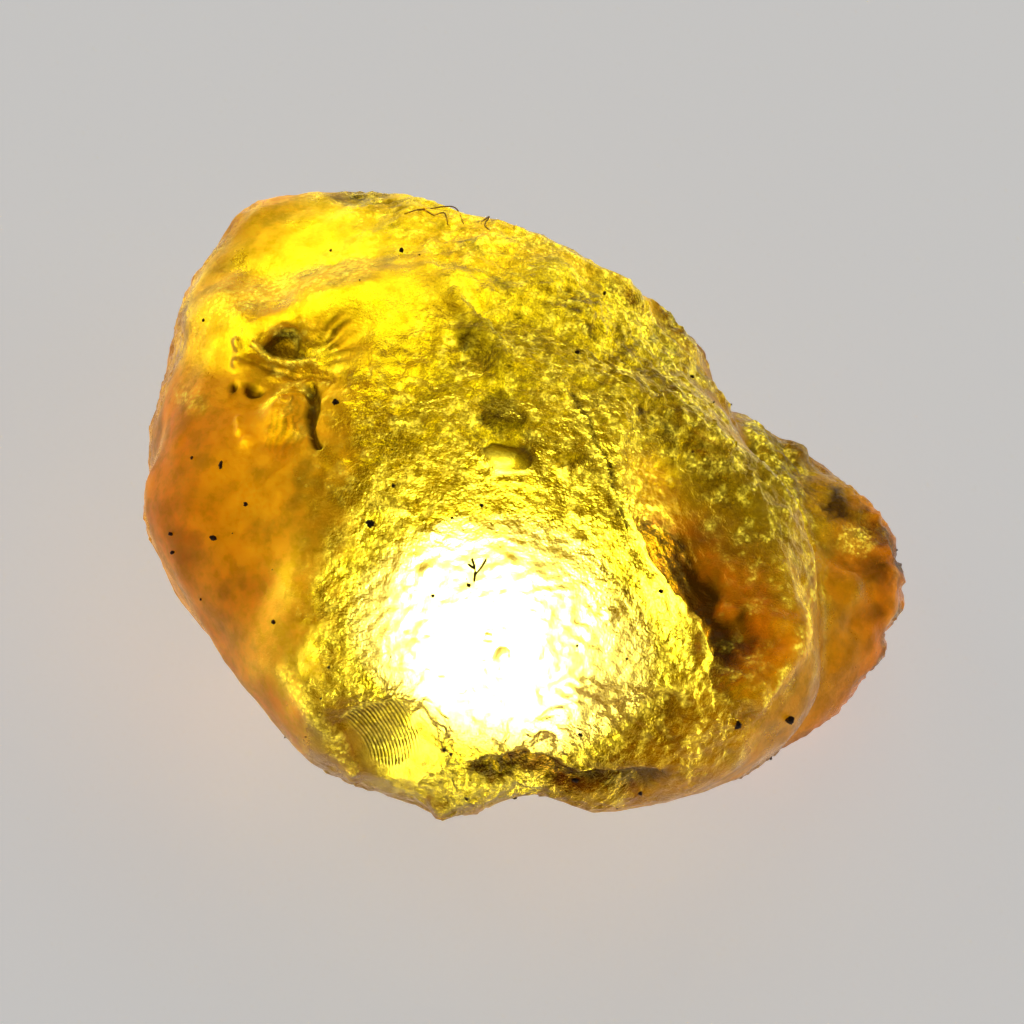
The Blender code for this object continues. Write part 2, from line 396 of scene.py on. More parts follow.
lobe = ramp(p - 0.35 * (q - 1) + patchy, 12.6, 14.4) * ramp(-w, 0.5, 3.0)
height += 0.14 * lobe * facets(1.9, 21)
height += 0.05 * lobe * facets(0.8, 22)

pit, _, pit_lot, _ = cell_noise(points, 1.7, 11)
height -= 0.16 * (pit_lot > 0.72) * np.clip(1 - (pit / 0.24) ** 2, 0, 1) * (1 - 0.5 * flank)
print("relief so far:", height.min().round(2), "to", height.max().round(2), "mm")

# %% [markdown]
# ## Ridges, hollow and ledges
#
# The crest runs down the right side of the broad face, and a second, streaky ridge runs beside
# it. The long hollow lies between them, with flutes along its length. Smaller cracks and flakes
# stand as steps. The clear window in the middle is a flat little fracture: it has the grain
# taken out of it, and a crisp lower edge.

# %% Ridges and ledges
CREST = ((-0.5, 13.2), (2.7, 12.3), (5.6, 10.3), (7.4, 9.1), (9.9, 6.8), (11.9, 4.4), (13.2, 2.3),
         (13.8, 0.0), (13.7, -2.5), (12.6, -5.0))
SECOND_RIDGE = ((0.1, 7.0), (1.0, 6.1), (2.9, 3.6), (4.4, 1.9), (5.7, 0.2), (7.4, -1.6),
                (9.3, -2.7), (9.8, -3.8))
GROOVE = ((0.9, 6.8), (2.0, 5.3), (3.8, 2.9), (4.6, 1.2))
CRACK_LEDGE = ((-5.3, 9.8), (-4.4, 9.2), (-3.6, 8.5), (-2.8, 7.8))
UNDER_LEDGE = ((1.2, -10.7), (1.7, -10.5), (2.6, -10.1), (3.6, -10.1), (4.4, -10.3), (5.2, -10.4),
               (6.2, -10.2), (7.1, -10.0), (8.1, -9.6))
WINDOW_SILL = ((-2.6, 2.35), (-1.4, 2.3), (-0.4, 2.5))
FLUTES = 0.42  # from one flute to the next
FLUTE_TURN = math.radians(-52.0)

marks = 0.42 * ridge(CREST, 0.9)
beyond_ridge = beside(SECOND_RIDGE)
lower_ridge = ramp(p - q, 0.0, 6.0)
marks += (0.10 + 0.22 * lower_ridge) * ridge(SECOND_RIDGE, 0.6)
marks -= 0.25 * lower_ridge * ramp(beyond_ridge, 0.1, 0.7) * ramp(-beyond_ridge, -3.2, -1.2)
marks -= 0.06 * ridge(GROOVE, 0.14)
marks += 0.4 * ledge(CRACK_LEDGE[::-1], 1.1)
marks -= 0.5 * ledge(UNDER_LEDGE[::-1], 1.3, 0.18)

across_flutes = drift_q * math.cos(FLUTE_TURN) - drift_p * math.sin(FLUTE_TURN)
flute = np.sin(2 * math.pi * across_flutes / FLUTES + 2.4 * noise(1.6, 12))
streaky = np.maximum(hollow, dome((5.6, -2.6), 3.6, 1.8, -45)) * (0.5 + 0.5 * patchy)
marks += 0.045 * np.clip(streaky, 0, 1) * flute

window = 1 - ramp(oval((-1.5, 3.2), 1.35, 0.75, 4), 0.8, 1.05)
ragged_edge = 0.35 * noise(0.7, 29)
window_above = 1 - ramp(oval((-2.3, 5.0), 1.25, 1.05, -35) + ragged_edge, 0.8, 1.0)
marks -= 0.12 * window + 0.08 * window_above
marks += 0.12 * ridge(WINDOW_SILL, 0.2)

FLAKES = (  # depth, p, q, half length, half width, turn
    (0.35, 1.4, 3.5, 0.9, 0.5, 20),
    (0.2, 1.2, 6.6, 1.5, 0.8, 60),
    (0.3, -4.6, 7.4, 1.4, 0.8, -40),
    (0.25, 4.5, 6.6, 1.6, 1.0, -30),
    (0.25, 7.0, 5.4, 1.3, 0.9, -50),
    (0.25, -6.2, -0.5, 0.9, 0.5, -10),
    (0.25, 4.4, -7.0, 1.6, 1.0, 35),
    (0.25, 8.2, -6.4, 1.5, 0.9, 10),
    (0.08, -8.4, -7.6, 1.3, 0.8, 70),
    (0.3, 11.4, -2.2, 1.2, 0.7, -60),
    (0.25, -0.6, 11.2, 1.2, 0.6, 10),
)
NUBS = (  # height, p, q, half width
    (0.22, -5.2, 12.5, 0.55),
    (0.22, -7.4, 11.7, 0.5),
    (0.25, 14.5, 0.2, 0.4),
    (0.35, -4.9, -13.2, 0.6),
    (0.3, -4.0, -13.7, 0.5),
    (0.45, 11.8, 6.7, 0.8),
    (0.30, 12.7, -1.6, 0.9),
    (0.30, 10.3, -1.5, 0.8),
    (0.20, 14.1, 1.6, 0.5),
    (0.22, 15.3, 6.1, 0.5),
)
marks += spots(NUBS) - spots(FLAKES, bowl)

RINGS = ((0.6, 9.8, 0.32), (3.45, -9.4, 0.62), (14.45, 0.15, 0.5), (-0.3, -5.2, 0.3))
for ring_p, ring_q, radius in RINGS:  # a low wall at s = 1 round a shallow bowl
    s = oval((ring_p, ring_q), radius)
    marks += 0.09 * np.exp(-(((s - 1) / 0.22) ** 2)) - 0.08 * np.clip(1 - s * s, 0, 1)
print("marks:", (marks * front).min().round(2), "to", (marks * front).max().round(2), "mm")

# %% [markdown]
# ## The shell-shaped fracture
#
# Resin breaks like glass: from the point that was struck, the crack front spreads in rings, and
# it leaves fine ribs round that point. The fracture at the lower edge has about fifteen of them.
# A sine of the distance from the struck point draws them, and an oval keeps them out of its
# smooth middle.

# %% Ribs of the shell fracture
STRUCK_POINT = (-6.4, -12.9)
RIB_SPACING = 0.16
RIBS_FROM, RIBS_TO = 2.0, 4.4  # distance from the struck point to the first and the last rib
SHELL_RIM = ((-5.9, -10.4), (-5.3, -9.9), (-4.9, -9.5), (-4.0, -9.2), (-3.0, -9.25))
BRIGHT_BAND = ((-9.0, -9.1), (-7.4, -10.6), (-6.2, -11.6), (-5.2, -12.7))

rings = np.hypot(p - STRUCK_POINT[0], q - STRUCK_POINT[1])
rib_band = ramp(rings, RIBS_FROM, 2.6) * (1 - ramp(rings, RIBS_TO, 5.2))
rib_band *= 1 - ramp(oval((-4.0, -10.75), 1.9, 1.6, -12), 0.75, 1.05)
rib = np.sin(2 * math.pi * rings / RIB_SPACING)
shell = (1 - ramp(oval((-3.6, -11.1), 2.7, 1.8, -8), 0.85, 1.0)) * front
marks += 0.026 * rib_band * rib
marks -= 0.12 * ledge(SHELL_RIM[::-1], 0.8, 0.07)
marks += 0.15 * ridge(BRIGHT_BAND, 0.6)
print("ribs:", round((RIBS_TO - RIBS_FROM) / RIB_SPACING), "of them")

# %% [markdown]
# ## The rim
#
# A few tenths of a millimetre at the rim change the stone's outline, so where the rim stands
# further out or in than the solid's, a wide soft dome moves it. It counts only where the
# surface turns away from the broad face.

# %% Corrections of the outline
OUTLINE = (  # how far the rim stands out or in, p, q, half width
    (-0.55, -11.5, 14.0, 2.6),
    (0.5, -16.0, 11.6, 2.6),
    (-0.45, 4.5, 11.2, 1.9),
    (0.45, 14.6, 5.6, 2.6),
    (0.35, 16.2, 4.9, 1.7),
    (-0.75, 18.3, 3.3, 1.5),
    (0.45, 18.0, 0.5, 1.5),
    (0.30, -1.5, 13.2, 2.6),
    (0.20, -17.6, -2.9, 2.6),
    (0.40, -0.45, -13.6, 0.8),
)
rim = ramp(1 - np.abs(facing), 0.25, 0.7)
outline = spots(OUTLINE) * rim
print("the rim moves by", outline.min().round(2), "to", outline.max().round(2), "mm")

# %% [markdown]
# ## The cavity at the left shoulder
#
# Here a lump has broken out. There is a deep pit under a thin bright lip, a smooth rounded nose
# below it with a groove beside it, two small holes, and a fan of fine splinters on the right.

# %% Pits, lip, nose and splinters
LIP = ((-14.3, 5.5), (-14.0, 5.2), (-13.4, 4.9), (-12.6, 4.8), (-11.9, 5.0), (-11.3, 5.2))
BAND = ((-14.7, 4.6), (-13.3, 4.4), (-12.2, 4.4), (-10.4, 4.7))
NOSE_GROOVE = ((-11.2, 4.1), (-10.8, 3.2), (-10.8, 2.2), (-10.1, 1.4))
FAN_EDGE = ((-9.0, 8.3), (-9.2, 7.4), (-9.0, 6.5), (-8.7, 5.5))
FAN_POINT = (-12.4, 4.4)

CAVITY_SPOTS = (  # height, p, q, half length, half width, turn: pits, nose, holes and knobs
    (-0.6, -13.0, 5.75, 1.3, 0.75, 4),
    (-0.45, -12.9, 6.4, 0.6, 0.35, 10),
    (0.42, -12.0, 2.5, 1.3, 1.9, -12),
    (-0.6, -13.8, 3.2, 0.42, 0.36),
    (-0.4, -14.8, 3.1, 0.3),
    (0.25, -15.2, 5.2, 0.42),
    (0.25, -15.1, 4.3, 0.42),
    (0.25, -13.9, 1.4, 0.42),
    (0.25, -13.4, 0.9, 0.42),
    (0.25, -14.2, 1.8, 0.42),
)
CAVITY_LINES = (  # height, path, half width
    (0.36, LIP, 0.24),
    (-0.22, BAND, 0.35),
    (-0.45, NOSE_GROOVE, 0.28),
)
marks += spots(CAVITY_SPOTS) + lines(CAVITY_LINES) + 0.14 * ledge(FAN_EDGE, 0.8, 0.2)

around_fan = np.arctan2(q - FAN_POINT[1], p - FAN_POINT[0])
fan_wave = np.sin(34 * around_fan + 3 * noise(1.1, 13))
fan = dome((-10.4, 6.5), 1.5, 1.9, 20)
marks += 0.08 * fan * fan_wave
nose_streak = np.sin(2 * math.pi * drift_p / 0.3 + 2 * noise(0.9, 14))
marks += 0.05 * dome((-11.8, 1.7), 1.4, 1.9, -12) * nose_streak
broken = front * np.clip(bowl((-12.2, 5.2), 3.3, 2.2, -5) + dome((-12, 2.4), 1.8, 2.2), 0, 1)
print("marks with the cavity:", (marks * front).min().round(2), "mm at the deepest")

# %% [markdown]
# ## Putting the relief on
#
# The marks count on the broad face only, and inside the window and the shell fracture the
# all-over grain is nearly taken out, because a fresh fracture is smooth. The whole height
# fades out near the resting face, which stays flat, and the points move along their normals.

# %% Move the points
FOOT_HEIGHT = 0.12  # points lower than this belong to the resting face
FOOT_FADE = (0.05, 0.9)  # the relief grows from nothing to its full height between these
LOWEST = 0.02  # no other point comes closer to the ground

calm = np.clip(0.92 * window * front + 0.85 * shell + 0.2 * broken, 0, 0.92)
off_the_nose = 1 - dome((-11.8, 1.9), 1.5, 2.0, -12)
crumbs = 0.12 * broken * off_the_nose * facets(0.6, 31)
total = height * (1 - calm) + crumbs + marks * front + outline
total *= ramp(points[:, 2], *FOOT_FADE)
moved = points + normals * total[:, None]
moved[:, 2] = np.where(points[:, 2] < FOOT_HEIGHT, 0.0, np.maximum(moved[:, 2], LOWEST))

RELIEF = (0.04, 0.35)  # heights at which a place begins to count, and counts in full
# Sunken and raised places. The colours below use them for painted shade, darker in the crevices,
# and for a painted highlight, lighter on the raised places.
crevice = ramp(-total, *RELIEF)
raised_highlight = ramp(total, *RELIEF)

amber.data.vertices.foreach_set("co", (moved * MM).astype(np.float32).ravel())
amber.data.update()
amber.data.shade_smooth()
print("points moved by", total.min().round(2), "to", total.max().round(2), "mm")

# %% [markdown]
# ## Stains, painted shade and painted lamp light
#
# The stone isn't one colour. Weathered skin is browner and duller, fresh fractures are lemon
# yellow, and iron has stained the hollow, the cavity and the right end reddish. The same rust
# brown is also painted shade: it darkens the crevices, the hollow, the band beside the second
# ridge and the ground under the lower ledges, and it makes the lower edge and the lower flank
# darker. Raised places get less of it, as a painted highlight. Each is worked out for every
# point and kept in the mesh as an attribute, which the material reads. A painted picture would
# do it too, but it would need the stone unwrapped, and this follows the relief.
#
# skin is how weathered a point is and frost how sugary. The rust attribute holds both the stain
# and the painted shade. clear is painted lamp light: it says where the colour is washed nearly
# white, over the lamp and where the lamp shines in.

# %% Skin, stain and painted shade, point by point
# Rust-brown stain on the nose, the knobs and the smooth patch, stain and painted shade in the
# hollow, and painted shade under the lower ledges. The rest make the lower edge darker.
RUST_AND_SHADE_SPOTS = (  # strength, p, q, half length, half width, turn
    (0.9, 8.9, -0.9, 3.4, 1.9, -50),
    (0.5, -11.9, 1.6, 1.3, 1.7),
    (0.8, 5.0, -11.2, 1.7, 0.7),
    (0.7, 8.0, -10.8, 1.0, 0.8),
    (0.6, -8.4, -10.9, 2.8, 2.0, -50),
    (0.35, -11.0, -6.2, 3.0, 2.4),
    (0.6, 3.4, -10.6, 2.4, 0.9),
    (0.5, 10.3, -1.5, 0.9),
    (0.25, 5.5, 3.5, 3.2, 2.4, -40),
    (0.3, 1.5, -10.0, 4.0, 1.3),
)
lower_flank = flank * ramp(-q, 1.0, 6.0)
# The band beside the second ridge: rust brown, and painted shade that holds back the lamp's light
# there. It also gets a little painted glow, and more painted shade next to the ridge.
brown_and_shaded_band = ramp(p - q, -1.5, 2.5) * ramp(-q + 0.3 * p, -2.0, 1.0)
brown_and_shaded_band *= ramp(q + 0.6 * patchy, -4.4, -2.2)
brown_and_shaded_band *= ramp(beyond_ridge, 0.0, 0.3) * ramp(-beyond_ridge, -5.4, -3.0)

rust_and_shade = spots(RUST_AND_SHADE_SPOTS) + 0.5 * ridge(BAND, 0.5) + 0.5 * fan + brown_and_shaded_band
# Browner at the shell's left end, and darker towards the lower edge.
rust_and_shade += 0.55 * bowl((-5.4, -12.0), 0.8, 1.8, 10) + 0.45 * ramp(-q - 0.5 * p, 13.5, 16.5)
rust_and_shade = front * rust_and_shade + 0.85 * lobe
# The flank is browner, most of all at its outer end, and darker on its lower part.
rust_and_shade += 0.3 * flank + 0.6 * flank * ramp(-p, 12.0, 17.0) + 0.3 * lower_flank
rust_and_shade += 0.35 * (1 - front) * ramp(noise(5.0, 15), 0.0, 0.5)
# Painted shade in the crevices, and a painted highlight on the raised places.
rust_and_shade += 0.45 * crevice - 0.3 * raised_highlight
rust_and_shade = np.clip(rust_and_shade + 0.15 * noise(0.9, 16), 0, 1)

skin = flank + (1 - flank) * ramp(0.6 - sugar + 0.5 * noise(1.5, 17), 0.1, 0.8)
skin = np.clip(skin * (1 - calm), 0, 1)


def keep(name, values):
    """Stores one number for each point of the stone under a name that the material reads."""
    layer = amber.data.attributes.new(name, "FLOAT", "POINT")
    layer.data.foreach_set("value", values.astype(np.float32))
    print(name, "is", values.mean().round(2), "on average")


keep("skin", skin)
keep("rust_and_shade", rust_and_shade)

# %% Painted lamp light, and frosted places
LAMP_PLACE = (-0.2, -1.0)  # x, y of the lamp under the stone, in mm
HOT_PLACE = (0.2, -5.6)  # p, q where its light comes out

# Painted lamp light: clear washes the colour nearly white where the lamp's light comes out of the
# broad face, and on the resting face right over the lamp.
from_hot = np.hypot((p - HOT_PLACE[0]) / 1.15,
                    (q - HOT_PLACE[1]) * np.where(q < HOT_PLACE[1], 1.3, 1.0))
clear = front * (1 - ramp(from_hot + 0.8 * patchy, 3.6, 6.6))
from_lamp = np.hypot(points[:, 0] - LAMP_PLACE[0], points[:, 1] - LAMP_PLACE[1])
lit_from = (points[:, 2] < 0.5) * (1 - ramp(from_lamp, 5.0, 8.0))
keep("clear", 0.9 * np.maximum(clear, lit_from))

smooth_patch = front * dome((5.5, 3.5), 2.6, 1.9, -40)
frost = np.clip(0.25 + 0.75 * sugar + 0.3 * noise(2.2, 18), 0, 1) * (1 - calm)
frost = np.maximum(frost, 0.85 * np.maximum(broken, upper))
frost *= (1 - 0.8 * flank) * (1 - 0.85 * clear) * (1 - 0.6 * hollow) * (1 - 0.7 * smooth_patch)
keep("frost", frost)

# %% [markdown]
# ## Light inside the stone
#
# Amber scatters light within itself, so thick skin and thin edges glow honey even where no lamp
# is behind them. Real scattering was tried, and gave hardly any glow at this size. An attribute
# called glow says where the material adds a little light of its own, as painted light. It is
# strong on the smooth flank and the knob, weak on the back and sides, and nearly nothing in the
# crevices, as painted shade, while raised places get a little more, as a painted highlight.

# %% Painted glow
# The glow is painted light: the stone adds light of its own, though it is no lamp.
toward = ramp(facing, -0.7, 0.25)
glow = 0.95 * np.maximum(flank, 0.8 * flank_reach * toward * (1 - front))
glow += 0.38 * lobe + 0.25 * front * ramp(p - 0.35 * q, 9.0, 13.0)
glow = np.clip(glow, 0, 1) + 0.3 * front * (1 - flank) * ramp(-p + 0.6 * q, 8.0, 12.0)
glow += front * (0.5 * dome((-14.4, 7.9), 3.2, 1.8, 15) + 0.5 * brown_and_shaded_band)
glow += 0.6 * smooth_patch + 0.2 * (1 - front) - 0.35 * lower_flank
# Painted shade and highlight: less glow in the crevices, more on the raised places.
glow *= 0.75 + 0.35 * noise(1.6, 19) - 0.5 * crevice + 0.35 * raised_highlight
glow *= 1 - lobe * ramp(noise(1.3, 20), -0.05, 0.35)
keep("glow", np.clip(glow, 0, 1))

# %% [markdown]
# ## Shade and glints
#
# The lamp's light comes through a broken face unevenly. Cracks, pits and the flat window swallow
# it and look olive, while rims, ridges and clusters of sugary grains throw it at the eye. The
# first is kept as shade and the second as glint, both from 0 to 1. They follow the same lines as
# the relief, so that the light agrees with the shape. The material breaks the glints up further
# into single sparks.

# %% Shade
PIT_SHADOW = ((-13.8, 5.45), (-13.2, 5.25), (-12.6, 5.2), (-12.0, 5.35))
DARK_SPOTS = (  # strength, p, q, half length, half width, turn
    (0.5, -4.7, 8.1, 1.2, 0.9, -40),
    (0.5, -8.9, -1.8, 3.2),
    (0.5, 7.8, -0.3, 3.0, 1.5, -50),
    (0.8, 14.1, 4.6, 1.4, 0.8, -40),
    (0.6, 14.3, 2.6, 0.7, 0.5),
    (0.5, 16.3, 2.3, 0.5, 0.8),
    (0.5, -13.0, 5.9, 1.3, 0.8, 4),
    (1.3, -13.8, 3.2, 0.6, 0.5),
    (1.1, -14.8, 3.1, 0.45),
    (0.5, -2.5, -9.3, 0.5, 0.2, -10),
    (0.5, -0.8, -10.0, 0.6, 0.3, -20),
)
DARK_LINES = (  # strength, path, half width
    (1.2, PIT_SHADOW, 0.4),
    (0.8, NOSE_GROOVE, 0.45),
    (1.0, GROOVE, 0.3),
)
shade = spots(DARK_SPOTS) + lines(DARK_LINES) + 0.85 * (window + window_above)
shade += 0.5 * ledge(CRACK_LEDGE[::-1], 2.0, 0.2) + 0.35 * ledge(UNDER_LEDGE[::-1], 1.4, 0.2)
shade += 0.8 * fan * ramp(fan_wave, -0.6, 0.4)
shade += 0.65 * dome((-11.8, 2.0), 1.3, 2.0, -12) * ramp(nose_streak, -0.8, 0.6)
shade += 0.35 * brown_and_shaded_band * ramp(noise(1.2, 32), -0.5, 0.4)
shade += 0.75 * brown_and_shaded_band * ramp(-beyond_ridge, -2.2, -0.7)
shade += 0.45 * dome((0.8, -11.2), 4.5, 1.6) * ramp(noise(0.7, 34), -0.6, 0.4)
shade += rib_band * (0.25 + 1.1 * ramp(rib, -0.3, 0.6))
blotches = noise(1.9, 25) + 0.5 * noise(0.8, 26)
shade += 0.35 * (1 - clear) * ramp(blotches, 0.15, 0.6)
speckle = noise(0.6, 35) + 0.6 * noise(0.33, 36)
shade += (0.6 * upper + 0.25 * broken) * ramp(speckle, 0.1, 0.5)
keep("shade", np.clip(shade * front + 0.5 * crevice * (1 - clear), 0, 1))

# %% Glints
TOP_FOLD = ((-16.2, 7.0), (-13.0, 8.6), (-10.4, 10.3))
RIM_LIGHT = ((-3.5, 13.4), (0.8, 12.1), (4.2, 10.0), (6.7, 7.9), (8.9, 5.6))
NOSE_RIM = ((-13.3, 2.6), (-12.7, 3.7), (-12.0, 4.1), (-11.4, 3.9))
SILL_GLEAM = ((-2.5, 2.4), (-1.4, 2.3), (-0.5, 2.5))
BRIGHT_SPOTS = (  # strength, p, q, half length, half width, turn
    (1.4, -5.5, 7.85, 0.5, 0.425),
    (1.4, -7.4, 11.7, 0.5, 0.425),
    (1.4, -5.2, 12.5, 0.6, 0.51),
    (1.4, -3.6, 4.2, 0.7, 0.595),
    (1.4, -6.4, -0.3, 0.8, 0.68),
    (1.4, 0.6, 9.8, 0.3, 0.255),
    (0.9, -11.9, 5.05, 0.45, 0.3),
    (0.5, -6.2, -0.4, 0.9, 0.45, -10),
    (0.9, -0.9, 4.3, 0.45, 0.35),
    (0.8, 1.3, 5.3, 0.6, 0.25, -10),
    (0.7, -0.4, 7.0, 0.7, 0.25, -30),
    (0.6, -16.6, 2.2, 1.4, 0.9),
    (1.6, 15.5, 3.3, 1.1, 1.0),
    (0.7, 8.5, 2.3, 0.5, 0.3, -50),
    (0.7, 12.7, -0.4, 0.5, 0.25, -60),
    (0.6, 13.9, -1.5, 0.6, 0.5),
    (0.35, 14.5, 0.3, 0.6),
)
BRIGHT_LINES = (  # strength, path, half width
    (0.8, BRIGHT_BAND, 0.6),
    (0.8, SHELL_RIM, 0.2),
    (0.9, LIP, 0.22),
    (0.6, NOSE_RIM, 0.28),
    (0.9, SILL_GLEAM, 0.17),
    (0.8, CRACK_LEDGE, 0.2),
    (0.9, TOP_FOLD, 1.2),
)
glint = spots(BRIGHT_SPOTS) + lines(BRIGHT_LINES) + 0.8 * rib_band * ramp(-rib, 0.0, 0.8)
streak = ramp(noise(0.5, 27), -0.2, 0.3)
glint += streak * (1.5 * ridge(SECOND_RIDGE[4:], 0.3) + 1.1 * ridge(CREST, 0.35))
glint += (0.5 + 0.5 * streak) * 1.2 * ridge(SECOND_RIDGE[:5], 0.2)
crest_wave = np.sin(2 * math.pi * beside(CREST) / 0.5 + 1.5 * noise(1.5, 37))
glint += 0.7 * ridge(CREST[2:8], 1.3) * ramp(crest_wave, 0.3, 0.9)
glint += 1.2 * ridge(RIM_LIGHT, 1.0) * ramp(noise(0.8, 33), -0.5, 0.4)

sugary = sugar * (1 - clear) * (1 - hollow) * ramp(q, -12.0, -5.0)
sugary = np.maximum(sugary, upper * (1 - 0.8 * ramp(p, 11.0, 13.0)))
sugary = np.maximum(sugary, 0.9 * broken)
clusters = noise(0.8, 28) + 0.6 * noise(0.4, 30)
glint += 0.95 * sugary * ramp(clusters, 0.08, 0.5) * (1 - np.clip(shade, 0, 1))
keep("glint", np.clip(glint * front, 0, 1))

# %% [markdown]
# ## The amber itself
#
# Amber is see-through, so the shader transmits light, bends it by amber's index of 1.54 and
# absorbs blue along the way through the stone. That is what turns thin places lemon and thick
# ones orange. The skin adds a matt, browner surface. The finest grain is a bump, because it
# would need millions of faces.
#
# The reflections are tinted gold, so that the pale floor doesn't lay a grey haze over the stone.
# The painted glow and the painted glints go to the emission colour. They are dim enough to light
# nothing else, so the renderer is told not to treat the stone as a lamp, which saves time. The
# painted shade darkens the base colour and the glow towards olive, and where the lamp's light
# is brightest the base colour is painted nearly white.

# %% The amber material
# The near-white colour is painted lamp light and the dark olive one painted shade. The rust brown
# is both stain and painted shade, and the glow and glint colours are painted light.
LAMP_WHITE = (1.0, 1.0, 0.95, 1.0)
LEMON = (1.0, 0.93, 0.05, 1.0)
HONEY = (1.0, 0.62, 0.02, 1.0)
RUST_AND_SHADE_BROWN = (0.42, 0.12, 0.005, 1.0)
SUGAR_GROUND = (0.16, 0.14, 0.06, 1.0)
WHITE = (1.0, 1.0, 1.0, 1.0)
BLACK = (0.0, 0.0, 0.0, 1.0)
SHADE_OLIVE = (0.035, 0.026, 0.0015, 1.0)
OLIVE_VEIL = (0.60, 0.52, 0.10, 1.0)
GLOW_HONEY = (0.62, 0.225, 0.002, 1.0)
GLOW_RUST = (0.50, 0.12, 0.001, 1.0)
GLINT = (1.0, 0.84, 0.06, 1.0)
GOLDEN_SHINE = (1.0, 0.76, 0.18, 1.0)
DEPTH_COLOUR = (0.962, 0.895, 0.12, 1.0)
DEPTH_DENSITY = 105.0
AMBER_VALUES = {"IOR": 1.54, "Specular IOR Level": 0.15, "Specular Tint": GOLDEN_SHINE,
                "Transmission Weight": 0.90, "Emission Strength": 1.0}


def new_material(name):
    """A material that isn't treated as a lamp: itself, its tree and its Principled shader."""
    material = bpy.data.materials.new(name)
    material.use_nodes = True
    material.cycles.emission_sampling = "NONE"
    return material, material.node_tree, material.node_tree.nodes["Principled BSDF"]


def feed(tree, node, inputs):
    """Sets a node's inputs, each to a fixed value or from another node's socket."""
    for name, value in inputs.items():
        if isinstance(value, (int, float, tuple)):
            node.inputs[name].default_value = value
        else:
            tree.links.new(value, node.inputs[name])


def add(tree, kind, inputs, **settings):
    """A new shader node of a kind, with its settings made and its inputs fed."""
    node = tree.nodes.new("ShaderNode" + kind)
    for name, value in settings.items():
        setattr(node, name, value)
    feed(tree, node, inputs)
    return node


def attribute(tree, name):
    """The number that the mesh keeps at each point under this name."""
    return add(tree, "Attribute", {}, attribute_name=name).outputs["Fac"]


def texture_of(tree, kind, size_mm, **inputs):
    """A texture on the object's own coordinates; its scale is one over the size in metres."""
    place = add(tree, "TexCoord", {}).outputs["Object"]
    return add(tree, kind, {"Vector": place, "Scale": 1 / (size_mm * MM), **inputs})


def noise_texture(tree, size_mm, detail, roughness):
    """Noise of a size, with finer octaves added by detail and roughness."""
    return texture_of(tree, "TexNoise", size_mm, Detail=detail, Roughness=roughness).outputs["Fac"]


def mixed(tree, factor, first, second, blend="MIX"):
    """A mix of two colours by a factor; each of the three is a value or a socket."""
    inputs = {"Factor": factor, "A": first, "B": second}
    return add(tree, "Mix", inputs, data_type="RGBA", blend_type=blend).outputs["Result"]


def times(tree, first, second):
    """One colour multiplied by another."""
    return mixed(tree, 1.0, first, second, "MULTIPLY")


def from_range(tree, value, low, high, to_low, to_high):
    """Stretches a value from one range to another, held at its ends."""
    ends = {"From Min": low, "From Max": high, "To Min": to_low, "To Max": to_high}
    return add(tree, "MapRange", {"Value": value, **ends}).outputs["Result"]


def maths(tree, operation, first, second):
    """Two values added or multiplied, as the operation says."""
    return add(tree, "Math", {0: first, 1: second}, operation=operation).outputs["Value"]


def bumped(tree, height, depth_mm, strength=1.0):
    """A surface direction, tilted as if there were bumps of this height, from 0 to the depth."""
    inputs = {"Height": height, "Distance": depth_mm * MM, "Strength": strength}
    return add(tree, "Bump", inputs).outputs["Normal"]


def sugar_sparkle(tree):
    """Bright grains on a duller ground, 0 to 1: fine noise, plus dots in some of the cells."""
    ground = from_range(tree, noise_texture(tree, 0.30, 3.0, 0.75), 0.40, 0.66, 0.0, 0.6)
    cells = texture_of(tree, "TexVoronoi", 0.20)
    lot = add(tree, "SeparateColor", {"Color": cells.outputs["Color"]})
    dot = from_range(tree, cells.outputs["Distance"], 0.10, 0.50, 1.0, 0.0)
    chosen = from_range(tree, lot.outputs["Red"], 0.55, 0.95, 0.0, 1.0)
    return maths(tree, "ADD", ground, maths(tree, "MULTIPLY", dot, chosen))


